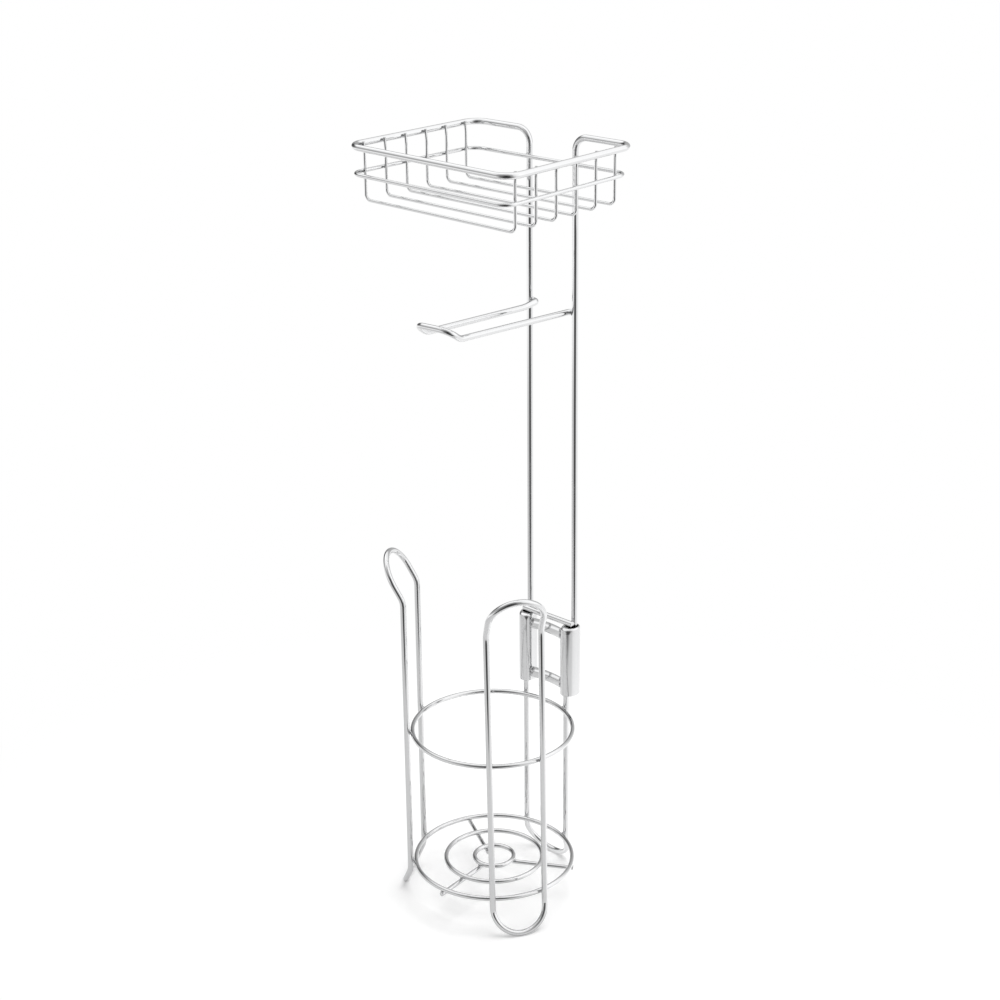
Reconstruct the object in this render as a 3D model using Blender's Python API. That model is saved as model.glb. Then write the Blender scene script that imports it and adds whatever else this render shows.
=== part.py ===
"""Chrome wire toilet paper stand: a cage for spare rolls, and an upper frame with a roll arm and a tray.

Lengths are in metres, +Z is up and +Y is the back. The origin is on the floor, in the middle of the
stand's plan outline. The cage is worked out about its own vertical axis, and the upper frame about the
plane of its two uprights. The uprights stand in two flattened sleeves on the cage, so the upper frame
lifts out upwards.
"""
import math

import bmesh
import bpy
from mathutils import Vector

# Wire and sheet
FRAME_WIRE = 0.0050          # uprights, tray rail, roll arm, stop wire and the cage's three loops
RING_WIRE = 0.0040           # all four rings
SPOKE_WIRE = 0.0038
BAND_WIRE = 0.0030           # the thin band round the tray
BASKET_WIRE = 0.0024         # the wires across the tray
SLEEVE_WALL = 0.0018
STRAP_THICKNESS = 0.0020
WELD_GAP = 0.0003            # left between two pieces that are welded or rest on each other

# Cage rings and spokes
RING_RADIUS = 0.0668
MIDDLE_RING_RADIUS = 0.0410
HUB_RING_RADIUS = 0.0167
BASE_RING_HEIGHT = 0.0307
UPPER_RING_HEIGHT = 0.1542
SPOKE_OVERHANG = 0.0003      # past the outer side of the base ring
SPOKE_INSET = 0.0020         # past the inner side of the hub ring
SPOKE_ENDS = ((34, 30.5), (155, 151), (265, 273))   # degrees round the axis at the hub and at the rim

# Cage loops, at the back and a third of a turn to each side of it
LOOP_HALF_WIDTH = 0.0225
FOOT_LENGTH = 0.0225         # from the floor to the corner of the foot's bend
FOOT_ANGLE = math.radians(24)
FOOT_BEND_RADIUS = 0.0165
FOOT_FLAT_DEPTH = 0.0004     # the worn flat that each foot stands on
HANDLE_BEND_HEIGHT = 0.2728
HANDLE_LENGTH = 0.0374       # from the corner of the bend to the loop's end
HANDLE_ANGLE = math.radians(28.2)
HANDLE_BEND_RADIUS = 0.0162
RIGHT_LOOP_LEAN = math.radians(-2.5)   # how far round the rings the loop's end sits from its foot

# Sleeves and straps
SLEEVE_WIDTH = 0.0142
SLEEVE_DEPTH = 0.0178
SLEEVE_TILT = math.radians(8.5)
SLEEVE_BOTTOM = 0.1670
SLEEVE_TOP = 0.2296
REAR_LEG_DROP = 0.0050       # the rear loop's ends below the sleeves' mouths
UPRIGHT_END_RISE = 0.0060    # the uprights' ends above the sleeves' bottoms
STRAP_HEIGHT = 0.0093
UPPER_STRAP_INSET = 0.0031
LOWER_STRAP_INSET = 0.0042
STRAP_BOW = 0.0018

# Upper frame
UPRIGHT_HALF_SPACING = 0.0247   # at the uprights' feet
SHOULDER_HALF_SPACING = 0.0235  # at the rail, to which the uprights lean in
UPRIGHT_SETBACK = 0.0078     # the uprights' plane behind the rear loop's plane
SHOULDER_RADIUS = 0.0115     # where an upright turns into the back rail
RAIL_HEIGHT = 0.6403
RAIL_HALF_WIDTH = 0.0808
RAIL_DEPTH = 0.1404
RAIL_CORNER_RADIUS = 0.0130
TRAY_TWIST = math.radians(0.65)   # the left side is the higher one at the tray's front

# Tray band and cross wires, all measured from the middle of the rail's wire
BAND_DROP = 0.0207
BAND_CORNER_RADIUS = 0.0110
CROSS_WIRE_COUNT = 6
CROSS_WIRE_DEPTH = 0.0423
CROSS_WIRE_BEND_RADIUS = 0.0050
CROSS_WIRE_END_RISE = 0.0018   # of the cut ends above the rail
CROSS_WIRE_KINK_DROP = 0.0060  # from the rail to where the ends lean outwards
CROSS_WIRE_LEAN = 0.0006       # of the ends, outwards against the rail
FIRST_CROSS_WIRE_SETBACK = 0.0127
CROSS_WIRE_PITCH = 0.0222

# Roll arm
ARM_HEIGHT = 0.5000
ARM_HALF_WIDTH = 0.0173
ARM_REACH = 0.1247           # from the uprights' plane to the corner of the tip's bend
ARM_RISE = 0.0051            # over that reach, on the left
ARM_TWIST_RISE = 0.0012      # more than that, on the right
ARM_ROOT_RADIUS = 0.0036     # where the arm turns out to the uprights
ARM_ROOT_SETBACK = 0.0017    # of the turned ends, behind the uprights' plane
ARM_LIFT = 0.0022            # of the left end above the arm's line
ARM_LIFT_LENGTH = 0.0150     # from the uprights' plane to where that end bends up
ARM_LIFT_RADIUS = 0.0300
TIP_LENGTH = 0.0152
TIP_ANGLE = math.radians(35)
TIP_BEND_RADIUS = 0.0120
TIP_CORNER_RADIUS = 0.0090

# Faces of the mesh
ARC_STEP = math.radians(15)
LOOP_STEP = math.radians(10)
RING_SIDES = 48
STRAP_SIDES = 12
HEAVY_WIRE_RESOLUTION = 3    # ten sides
FINE_WIRE_RESOLUTION = 2     # eight sides
SHARP_ANGLE = math.radians(40)

# Chrome plate
CHROME_COLOUR = (0.60, 0.60, 0.61, 1.0)
CHROME_ROUGHNESS = 0.08

# The loops' wires touch the rings' outer side
LOOP_WIRE_RADIUS = RING_RADIUS + RING_WIRE / 2 + WELD_GAP + FRAME_WIRE / 2
LOOP_PLANE = math.sqrt(LOOP_WIRE_RADIUS ** 2 - LOOP_HALF_WIDTH ** 2)
LOOP_TURN = math.tau / 3
REAR_LOOP_ANGLE = math.radians(90)

# Each sleeve is centred between the loop's wire and the upright
SLEEVE_OFFSET = (UPRIGHT_HALF_SPACING + LOOP_HALF_WIDTH) / 2
SLEEVE_HALF_FLAT = (SLEEVE_DEPTH - SLEEVE_WIDTH) / 2

# The plan outline runs from the front spoke's end to the sleeves' backs
UPRIGHT_PLANE = LOOP_PLANE + UPRIGHT_SETBACK
SLEEVE_PLANE = LOOP_PLANE + UPRIGHT_SETBACK / 2
SPOKE_END = RING_RADIUS + RING_WIRE / 2 + SPOKE_OVERHANG
FRONT_REACH = SPOKE_END
BACK_REACH = SLEEVE_PLANE + SLEEVE_HALF_FLAT * math.cos(SLEEVE_TILT) + SLEEVE_WIDTH / 2
CAGE_Y = (FRONT_REACH - BACK_REACH) / 2
UPRIGHT_Y = CAGE_Y + UPRIGHT_PLANE

# The cross wires' ends lean on the rail's inner side, and the band goes round their straight sides
CROSS_WIRE_END = RAIL_HALF_WIDTH - (FRAME_WIRE + BASKET_WIRE) / 2 - WELD_GAP
CROSS_WIRE_HALF_WIDTH = CROSS_WIRE_END - CROSS_WIRE_LEAN
BAND_HALF_WIDTH = CROSS_WIRE_HALF_WIDTH + (BASKET_WIRE + BAND_WIRE) / 2 + WELD_GAP


def clear_scene():
    for obj in list(bpy.data.objects):
        bpy.data.objects.remove(obj, do_unlink=True)


def chrome(name):
    material = bpy.data.materials.new(name + "_chrome")
    material.use_nodes = True
    shader = material.node_tree.nodes["Principled BSDF"]
    shader.inputs["Base Color"].default_value = CHROME_COLOUR
    shader.inputs["Metallic"].default_value = 1.0
    shader.inputs["Roughness"].default_value = CHROME_ROUGHNESS
    return material


def add_empty(name, location):
    empty = bpy.data.objects.new(name, None)
    empty.location = location
    bpy.context.collection.objects.link(empty)
    return empty


def add_object(name, data, parent):
    """Put a curve or a mesh into the scene under its parent, with its own chrome."""
    obj = bpy.data.objects.new(name, data)
    obj.parent = parent
    data.materials.append(chrome(name))
    bpy.context.collection.objects.link(obj)
    return obj


def rounded_path(corners, radii, closed=False):
    """The corners joined by straight runs, each corner an arc of its own radius, or a plain point at 0."""
    corners = [Vector(corner) for corner in corners]
    path = []
    for index, (corner, radius) in enumerate(zip(corners, radii)):
        if radius == 0:
            path.append(corner)
            continue
        after = corners[(index + 1) % len(corners)] if closed else corners[index + 1]
        backward = (corners[index - 1] - corner).normalized()
        forward = (after - corner).normalized()
        half = backward.angle(forward) / 2
        turn = math.pi - 2 * half
        centre = corner + (backward + forward).normalized() * radius / math.sin(half)
        start = corner + backward * radius / math.tan(half) - centre
        steps = max(1, round(turn / ARC_STEP))
        for step in range(steps + 1):
            angle = turn * step / steps
            path.append(centre + start * math.cos(angle) - backward * radius * math.sin(angle))
    return path


def wire_curve(name, path, diameter, closed=False):
    """A round wire along a path: a curve with a round bevel and filled ends."""
    curve = bpy.data.curves.new(name, "CURVE")
    curve.dimensions = "3D"
    curve.bevel_depth = diameter / 2
    curve.bevel_resolution = HEAVY_WIRE_RESOLUTION if diameter >= FRAME_WIRE else FINE_WIRE_RESOLUTION
    curve.use_fill_caps = not closed
    spline = curve.splines.new("POLY")
    spline.points.add(len(path) - 1)
    for point, place in zip(spline.points, path):
        point.co = (*place, 1.0)
    spline.use_cyclic_u = closed
    return curve


def add_wire(name, path, diameter, parent, closed=False):
    return add_object(name, wire_curve(name, path, diameter, closed), parent)


def add_mesh(name, bm, parent):
    mesh = bpy.data.meshes.new(name)
    bmesh.ops.recalc_face_normals(bm, faces=bm.faces)
    bm.to_mesh(mesh)
    bm.free()
    mesh.shade_smooth()
    mesh.set_sharp_from_angle(angle=SHARP_ANGLE)
    return add_object(name, mesh, parent)


# Rings and spokes

def add_ring(name, radius, height, cage):
    """A butt-welded ring, closed on itself."""
    turns = [math.tau * side / RING_SIDES for side in range(RING_SIDES)]
    path = [Vector((radius * math.cos(turn), radius * math.sin(turn), 0)) for turn in turns]
    ring = add_wire(name, path, RING_WIRE, cage, closed=True)
    ring.location = (0, 0, height)
    return ring


def add_spoke(name, ends, cage):
    """A straight wire under the three base rings, set by eye between two loops."""
    radii = (HUB_RING_RADIUS - RING_WIRE / 2 - SPOKE_INSET, SPOKE_END)
    path = []
    for radius, end in zip(radii, ends):
        turn = math.radians(end)
        path.append(Vector((radius * math.cos(turn), radius * math.sin(turn), 0)))
    spoke = add_wire(name, path, SPOKE_WIRE, cage)
    spoke.location = (0, 0, BASE_RING_HEIGHT - RING_WIRE / 2 - WELD_GAP - SPOKE_WIRE / 2)
    return spoke


# Loops: a flat outline with round ends, bent outwards at the foot and, on two of them, at the top

def side_profile(top_height, handle):
    """The loop from its side: places outwards from the cage's axis and upwards, from foot to top."""
    floor = FRAME_WIRE / 2 - FOOT_FLAT_DEPTH
    foot = (LOOP_PLANE + FOOT_LENGTH * math.sin(FOOT_ANGLE), 0, floor)
    ankle = (LOOP_PLANE, 0, floor + FOOT_LENGTH * math.cos(FOOT_ANGLE))
    if not handle:
        return rounded_path([foot, ankle, (LOOP_PLANE, 0, top_height)], [0, FOOT_BEND_RADIUS, 0])
    neck = (LOOP_PLANE, 0, top_height)
    end = (
        LOOP_PLANE + HANDLE_LENGTH * math.sin(HANDLE_ANGLE),
        0,
        top_height + HANDLE_LENGTH * math.cos(HANDLE_ANGLE),
    )
    return rounded_path([foot, ankle, neck, end], [0, FOOT_BEND_RADIUS, HANDLE_BEND_RADIUS, 0])


def path_lengths(path):
    """The distance along a path at each of its points."""
    lengths = [0]
    for before, after in zip(path, path[1:]):
        lengths.append(lengths[-1] + (after - before).length)
    return lengths


def place_along(path, lengths, distance):
    """The place on a path at a distance along it."""
    last = len(path) - 1
    index = next((i for i in range(1, last) if lengths[i] >= distance), last)
    share = (distance - lengths[index - 1]) / (lengths[index] - lengths[index - 1])
    return path[index - 1].lerp(path[index], share)


def flat_outline(lengths, handle):
    """The loop's flat outline: pairs of a place across and a distance along, from the foot round."""
    half = LOOP_HALF_WIDTH
    quarter = round(math.radians(90) / LOOP_STEP)
    turns = [LOOP_STEP * step for step in range(-quarter, quarter + 1)]
    total = lengths[-1]
    straight_end = total - half if handle else total
    foot = [(half * math.sin(turn), half - half * math.cos(turn)) for turn in turns]
    stations = [length for length in lengths if half < length < straight_end]
    right = [(half, length) for length in stations]
    left = [(-half, length) for length in reversed(stations)]
    if handle:
        top = [(-half * math.sin(turn), straight_end + half * math.cos(turn)) for turn in turns]
        return foot + right + top + left
    return [(-half, total)] + left + foot + right + [(half, total)]


def loop_path(top_height, handle, lean):
    """The bent outline, facing +X from the cage's axis, leaning round the axis as it rises."""
    profile = side_profile(top_height, handle)
    lengths = path_lengths(profile)
    path = []
    for across, along in flat_outline(lengths, handle):
        place = place_along(profile, lengths, along)
        turn = lean * (place.z - BASE_RING_HEIGHT) / (profile[-1].z - BASE_RING_HEIGHT)
        x = place.x * math.cos(turn) - across * math.sin(turn)
        y = place.x * math.sin(turn) + across * math.cos(turn)
        path.append(Vector((x, y, place.z)))
    return path


def cut_at_floor(curve):
    """The wire's mesh with what lies under the floor cut off and closed flat."""
    carrier = bpy.data.objects.new(curve.name, curve)
    bpy.context.collection.objects.link(carrier)
    evaluated = carrier.evaluated_get(bpy.context.evaluated_depsgraph_get())
    bm = bmesh.new()
    bm.from_mesh(evaluated.to_mesh())
    evaluated.to_mesh_clear()
    bpy.data.objects.remove(carrier, do_unlink=True)
    cut = bmesh.ops.bisect_plane(
        bm,
        geom=bm.verts[:] + bm.edges[:] + bm.faces[:],
        plane_co=(0, 0, 0),
        plane_no=(0, 0, -1),
        clear_outer=True,
    )
    edges = [item for item in cut["geom_cut"] if isinstance(item, bmesh.types.BMEdge)]
    bmesh.ops.edgeloop_fill(bm, edges=edges)
    return bm


def add_loop(name, angle, top_height, cage, handle=True, lean=0):
    path = loop_path(top_height, handle, lean)
    bm = cut_at_floor(wire_curve(name + "_path", path, FRAME_WIRE, closed=handle))
    loop = add_mesh(name, bm, cage)
    loop.rotation_euler = (0, 0, angle)
    return loop


# Sleeves and the straps between them

def oval(width, depth, height):
    """Points of a flattened tube's outline: two half circles joined by straight sides, at one height."""
    half = (depth - width) / 2
    quarter = round(math.radians(90) / ARC_STEP)
    turns = [ARC_STEP * step for step in range(-quarter, quarter + 1)]
    back = [Vector((-math.sin(t) * width / 2, half + math.cos(t) * width / 2, height)) for t in turns]
    front = [Vector((math.sin(t) * width / 2, -half - math.cos(t) * width / 2, height)) for t in turns]
    return back + front


def add_sleeve(name, side, cage):
    """A flattened open tube: its outer and inner outlines at both ends, joined by four bands."""
    length = SLEEVE_TOP - SLEEVE_BOTTOM
    inner = 2 * SLEEVE_WALL
    bm = bmesh.new()
    outlines = []
    for inset, height in ((0, 0), (0, length), (inner, length), (inner, 0)):
        points = oval(SLEEVE_WIDTH - inset, SLEEVE_DEPTH - inset, height)
        outlines.append([bm.verts.new(point) for point in points])
    for lower, upper in zip(outlines, outlines[1:] + outlines[:1]):
        for index in range(len(lower)):
            bm.faces.new((lower[index - 1], lower[index], upper[index], upper[index - 1]))
    sleeve = add_mesh(name, bm, cage)
    sleeve.location = (side * SLEEVE_OFFSET, SLEEVE_PLANE, SLEEVE_BOTTOM)
    sleeve.rotation_euler = (0, 0, -side * SLEEVE_TILT)
    return sleeve


def add_strap(name, bottom, cage):
    """A flat bar between the rounded fronts of the sleeves, bowed to the back."""
    round_x = SLEEVE_OFFSET - SLEEVE_HALF_FLAT * math.sin(SLEEVE_TILT)
    round_y = SLEEVE_PLANE - SLEEVE_HALF_FLAT * math.cos(SLEEVE_TILT)
    ahead = round_y - LOOP_PLANE - STRAP_THICKNESS / 2
    half_length = round_x - math.sqrt((SLEEVE_WIDTH / 2 + WELD_GAP) ** 2 - ahead ** 2)
    bm = bmesh.new()
    corners = []
    for index in range(STRAP_SIDES + 1):
        share = 2 * index / STRAP_SIDES - 1
        x = share * half_length
        y = LOOP_PLANE + STRAP_BOW * (1 - share ** 2)
        front, back = y - STRAP_THICKNESS / 2, y + STRAP_THICKNESS / 2
        ring = ((x, front, 0), (x, back, 0), (x, back, STRAP_HEIGHT), (x, front, STRAP_HEIGHT))
        corners.append([bm.verts.new(place) for place in ring])
    for left, right in zip(corners, corners[1:]):
        for index in range(4):
            bm.faces.new((left[index - 1], left[index], right[index], right[index - 1]))
    bm.faces.new(corners[0])
    bm.faces.new(corners[-1])
    strap = add_mesh(name, bm, cage)
    strap.location = (0, 0, bottom)
    return strap


# Upper frame: everything here is placed from the point on the floor between the two uprights

def upright_half_spacing(height):
    """Half the distance between the uprights at a height, as they lean in from their feet to the rail."""
    foot = SLEEVE_BOTTOM + UPRIGHT_END_RISE
    share = (height - foot) / (RAIL_HEIGHT - foot)
    return UPRIGHT_HALF_SPACING + (SHOULDER_HALF_SPACING - UPRIGHT_HALF_SPACING) * share


def twist_tray(path, y=0):
    """Lift the left of the tray and drop its right: in full at the front rail, not at all at the back."""
    for place in path:
        place.z += place.x * math.tan(TRAY_TWIST) * (place.y + y) / RAIL_DEPTH
    return path


def add_main_wire(frame):
    """One wire: up the left upright, round the tray's open-backed rail and down the right upright."""
    half, top = RAIL_HALF_WIDTH, RAIL_HEIGHT
    left = [
        (-UPRIGHT_HALF_SPACING, 0, SLEEVE_BOTTOM + UPRIGHT_END_RISE),
        (-SHOULDER_HALF_SPACING, 0, top),
        (-half, 0, top),
        (-half, -RAIL_DEPTH, top),
    ]
    right = [(-x, y, z) for x, y, z in reversed(left)]
    radii = [0, SHOULDER_RADIUS, RAIL_CORNER_RADIUS, RAIL_CORNER_RADIUS]
    path = twist_tray(rounded_path(left + right, radii + radii[::-1]))
    return add_wire("main_frame_wire", path, FRAME_WIRE, frame)


def add_stop_wire(frame):
    """A straight wire across the front of the uprights, which comes to rest on the sleeves' mouths."""
    height = SLEEVE_TOP + WELD_GAP + FRAME_WIRE / 2
    half = upright_half_spacing(height) + FRAME_WIRE / 2
    stop = add_wire("stop_wire", [Vector((-half, 0, 0)), Vector((half, 0, 0))], FRAME_WIRE, frame)
    stop.location = (0, -FRAME_WIRE - WELD_GAP, height)
    return stop


def add_tray_band(frame):
    """The thin band round the outside of the cross wires, passing in front of the uprights."""
    half = BAND_HALF_WIDTH
    back = -(FRAME_WIRE + BAND_WIRE) / 2 - WELD_GAP
    corners = [(-half, back, 0), (-half, -RAIL_DEPTH, 0), (half, -RAIL_DEPTH, 0), (half, back, 0)]
    path = rounded_path(corners, [BAND_CORNER_RADIUS] * len(corners), closed=True)
    band = add_wire("tray_band", twist_tray(path), BAND_WIRE, frame, closed=True)
    band.location = (0, 0, RAIL_HEIGHT - BAND_DROP)
    return band


def add_cross_wire(name, y, frame):
    """A wire bent to a wide U, its ends leaning out to the rail's inner side."""
    left = [
        (-CROSS_WIRE_END, 0, CROSS_WIRE_END_RISE),
        (-CROSS_WIRE_END, 0, 0),
        (-CROSS_WIRE_HALF_WIDTH, 0, -CROSS_WIRE_KINK_DROP),
        (-CROSS_WIRE_HALF_WIDTH, 0, -CROSS_WIRE_DEPTH),
    ]
    right = [(-x, place_y, z) for x, place_y, z in reversed(left)]
    radii = [0, 0, 0, CROSS_WIRE_BEND_RADIUS]
    path = twist_tray(rounded_path(left + right, radii + radii[::-1]), y)
    wire = add_wire(name, path, BASKET_WIRE, frame)
    wire.location = (0, y, RAIL_HEIGHT)
    return wire


def arm_tip(side, rise):
    """The two corners of one side of the upturned tip: side is -1 on the left and 1 on the right."""
    half = side * ARM_HALF_WIDTH
    tip_y = -ARM_REACH - TIP_LENGTH * math.cos(TIP_ANGLE)
    return [(half, -ARM_REACH, rise), (half, tip_y, rise + TIP_LENGTH * math.sin(TIP_ANGLE))]


def add_roll_arm(frame):
    """One wire: from the left upright, where it is bent up a little, round the tip and to the right one."""
    root = upright_half_spacing(ARM_HEIGHT) - FRAME_WIRE / 2 - WELD_GAP
    half, back = ARM_HALF_WIDTH, ARM_ROOT_SETBACK
    bend_height = ARM_RISE * ARM_LIFT_LENGTH / ARM_REACH
    left = [(-root, back, ARM_LIFT), (-half, back, ARM_LIFT), (-half, -ARM_LIFT_LENGTH, bend_height)]
    tip = arm_tip(-1, ARM_RISE) + arm_tip(1, ARM_RISE + ARM_TWIST_RISE)[::-1]
    right = [(half, back, 0), (root, back, 0)]
    left_radii = [0, ARM_ROOT_RADIUS, ARM_LIFT_RADIUS]
    tip_radii = [TIP_BEND_RADIUS, TIP_CORNER_RADIUS, TIP_CORNER_RADIUS, TIP_BEND_RADIUS]
    path = rounded_path(left + tip + right, left_radii + tip_radii + [ARM_ROOT_RADIUS, 0])
    arm = add_wire("roll_arm", path, FRAME_WIRE, frame)
    arm.location = (0, 0, ARM_HEIGHT)
    return arm


def build_cage():
    cage = add_empty("cage_axis", (0, CAGE_Y, 0))
    add_ring("base_outer_ring", RING_RADIUS, BASE_RING_HEIGHT, cage)
    add_ring("base_middle_ring", MIDDLE_RING_RADIUS, BASE_RING_HEIGHT, cage)
    add_ring("base_hub_ring", HUB_RING_RADIUS, BASE_RING_HEIGHT, cage)
    add_ring("upper_ring", RING_RADIUS, UPPER_RING_HEIGHT, cage)
    for index, ends in enumerate(SPOKE_ENDS):
        add_spoke(f"base_spoke_{index + 1}", ends, cage)
    rear_leg_end = SLEEVE_TOP - REAR_LEG_DROP
    add_loop("rear_loop", REAR_LOOP_ANGLE, rear_leg_end, cage, handle=False)
    add_loop("left_loop", REAR_LOOP_ANGLE + LOOP_TURN, HANDLE_BEND_HEIGHT, cage)
    add_loop("right_loop", REAR_LOOP_ANGLE - LOOP_TURN, HANDLE_BEND_HEIGHT, cage, lean=RIGHT_LOOP_LEAN)
    add_sleeve("left_sleeve", -1, cage)
    add_sleeve("right_sleeve", 1, cage)
    add_strap("upper_strap", SLEEVE_TOP - UPPER_STRAP_INSET - STRAP_HEIGHT, cage)
    add_strap("lower_strap", SLEEVE_BOTTOM + LOWER_STRAP_INSET, cage)


def build_upper_frame():
    frame = add_empty("lift_axis", (0, UPRIGHT_Y, 0))
    add_main_wire(frame)
    add_stop_wire(frame)
    add_tray_band(frame)
    first = -RAIL_DEPTH + FIRST_CROSS_WIRE_SETBACK
    for index in range(CROSS_WIRE_COUNT):
        add_cross_wire(f"tray_cross_wire_{index + 1}", first + index * CROSS_WIRE_PITCH, frame)
    add_roll_arm(frame)


clear_scene()
build_cage()
build_upper_frame()
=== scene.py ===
"""Chrome wire toilet paper stand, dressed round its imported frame.

Lengths are in metres, +Z is up and +Y is the back, where the uprights are. The origin is on the floor, in
the middle of the stand's plan outline.
"""
import math

import bpy
import numpy as np
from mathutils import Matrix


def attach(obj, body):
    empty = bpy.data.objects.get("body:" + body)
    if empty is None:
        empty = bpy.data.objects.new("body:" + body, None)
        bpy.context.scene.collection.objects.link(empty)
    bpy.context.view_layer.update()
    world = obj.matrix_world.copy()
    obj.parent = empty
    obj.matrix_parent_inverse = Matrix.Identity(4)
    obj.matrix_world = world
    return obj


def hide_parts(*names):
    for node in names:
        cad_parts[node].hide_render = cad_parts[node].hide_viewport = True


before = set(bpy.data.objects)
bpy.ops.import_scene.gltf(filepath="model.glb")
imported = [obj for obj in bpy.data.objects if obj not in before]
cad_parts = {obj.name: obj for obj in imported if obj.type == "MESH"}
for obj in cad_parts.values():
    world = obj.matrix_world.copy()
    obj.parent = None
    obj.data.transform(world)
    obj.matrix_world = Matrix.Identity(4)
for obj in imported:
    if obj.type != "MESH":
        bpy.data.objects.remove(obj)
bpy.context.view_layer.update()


# The cage's four rings. Each is drawn steel wire rolled to a circle and butt-welded, and bright chrome
# plated with the rest of the cage. Three lie in its floor and one goes round the spare rolls.

CAGE_Y = -0.00583            # the cage's axis, ahead of the middle of the plan outline
RING_WIRE = 0.0040
RING_RADIUS = 0.0668
MIDDLE_RING_RADIUS = 0.0410
HUB_RING_RADIUS = 0.0167
BASE_RING_HEIGHT = 0.0307
UPPER_RING_HEIGHT = 0.1542
RING_STATIONS = 120
WIRE_SIDES = 28
STATION_STEP = 0.0040
CUT_EDGE_SHARE = 0.18        # of the wire's radius, rounded off by the shears
CUT_STEPS = 5
SHARP_EDGE = math.radians(50)
CHROME_COLOUR = (0.600, 0.602, 0.606, 1.0)
CHROME_SHADE = (0.565, 0.568, 0.574, 1.0)
CHROME_CLEAR = 0.02
CHROME_HAZE = 0.06
WELD_GAP = 0.0003            # left in the CAD between welded pieces
SMUDGE_SCALE = 55            # of the noise, per metre
SMUDGE_RANGE = (0.35, 0.72)  # of the noise, from clear to hazy
SPECK_SCALE = 620
SPECK_RANGE = (0.48, 0.80)
WAVE_SCALE = 140
WAVE_HEIGHT = 0.000005


def unit(vectors):
    """Each vector divided by its own length."""
    return vectors / np.maximum(np.linalg.norm(vectors, axis=-1, keepdims=True), 1e-12)


def node(tree, kind, **values):
    """A shader node with its properties and its inputs set by name."""
    made = tree.nodes.new(kind)
    for key, value in values.items():
        if hasattr(made, key):
            setattr(made, key, value)
        else:
            made.inputs[key.replace("_", " ")].default_value = value
    return made


def chrome(name, line_height, line_scale, haze=CHROME_HAZE, clear=CHROME_CLEAR, colour=CHROME_COLOUR):
    """Bright chrome plate. Slow noise drifts the roughness between clear and hazy, and fine noise shades
    the colour a little. The bump adds the lengthwise lines of the drawing die, from noise that is stretched
    along the UV map, to the faint waviness of the plate."""
    material = bpy.data.materials.new(name)
    material.use_nodes = True
    tree = material.node_tree
    link = tree.links.new
    shader = tree.nodes["Principled BSDF"]
    shader.inputs["Metallic"].default_value = 1.0
    place = node(tree, "ShaderNodeTexCoord")

    smudge = node(tree, "ShaderNodeTexNoise", Scale=SMUDGE_SCALE, Detail=4)
    low, high = SMUDGE_RANGE
    roughness = node(tree, "ShaderNodeMapRange", From_Min=low, From_Max=high, To_Min=clear, To_Max=haze)
    link(place.outputs["Object"], smudge.inputs["Vector"])
    link(smudge.outputs["Fac"], roughness.inputs["Value"])
    link(roughness.outputs["Result"], shader.inputs["Roughness"])

    speck = node(tree, "ShaderNodeTexNoise", Scale=SPECK_SCALE, Detail=3)
    low, high = SPECK_RANGE
    share = node(tree, "ShaderNodeMapRange", From_Min=low, From_Max=high)
    tint = node(tree, "ShaderNodeMix", data_type="RGBA")
    tint.inputs[6].default_value = colour
    tint.inputs[7].default_value = CHROME_SHADE
    link(place.outputs["Object"], speck.inputs["Vector"])
    link(speck.outputs["Fac"], share.inputs["Value"])
    link(share.outputs["Result"], tint.inputs[0])
    link(tint.outputs[2], shader.inputs["Base Color"])

    stretch = node(tree, "ShaderNodeMapping", Scale=line_scale)
    lines = node(tree, "ShaderNodeTexNoise", Scale=1, Detail=5)
    drawn = node(tree, "ShaderNodeBump", Strength=0.4, Distance=line_height)
    link(place.outputs["UV"], stretch.inputs["Vector"])
    link(stretch.outputs["Vector"], lines.inputs["Vector"])
    link(lines.outputs["Fac"], drawn.inputs["Height"])
    wave = node(tree, "ShaderNodeTexNoise", Scale=WAVE_SCALE, Detail=1)
    wavy = node(tree, "ShaderNodeBump", Strength=0.5, Distance=WAVE_HEIGHT)
    link(place.outputs["Object"], wave.inputs["Vector"])
    link(wave.outputs["Fac"], wavy.inputs["Height"])
    link(drawn.outputs["Normal"], wavy.inputs["Normal"])
    link(wavy.outputs["Normal"], shader.inputs["Normal"])
    return material


def skin(name, rings, along, closed=False):
    """Quads between neighbouring rings of points. The UV map is in metres, round the ring and along the
    rings, and an open skin is closed by a flat face at each end."""
    count, sides = rings.shape[:2]
    row = np.arange(count if closed else count - 1)[:, None]
    side = np.arange(sides)[None, :]
    next_row, next_side = (row + 1) % count, (side + 1) % sides
    quads = np.stack([
        row * sides + side, row * sides + next_side, next_row * sides + next_side, next_row * sides + side,
    ], axis=-1).reshape(-1, 4)
    faces = quads.tolist()
    if not closed:
        faces.append(list(range(sides - 1, -1, -1)))
        faces.append(list(range((count - 1) * sides, count * sides)))
    mesh = bpy.data.meshes.new(name)
    mesh.from_pydata(rings.reshape(-1, 3).tolist(), [], faces)

    girth = np.linalg.norm(rings[0] - np.roll(rings[0], -1, 0), axis=1).sum()
    step_along = np.append(along, along[-1] + along[1] - along[0])
    low, high = step_along[row] + 0 * side, step_along[row + 1] + 0 * side
    left, right = side / sides * girth + 0 * row, (side + 1) / sides * girth + 0 * row
    corners = np.stack([
        np.stack([left, low], -1), np.stack([right, low], -1),
        np.stack([right, high], -1), np.stack([left, high], -1),
    ], axis=2).reshape(-1, 2)
    flat = np.zeros((len(mesh.loops) - len(corners), 2))
    layer = mesh.uv_layers.new(name="length")
    layer.data.foreach_set("uv", np.concatenate([corners, flat]).ravel())
    mesh.shade_smooth()
    mesh.set_sharp_from_angle(angle=SHARP_EDGE)
    return mesh


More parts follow.
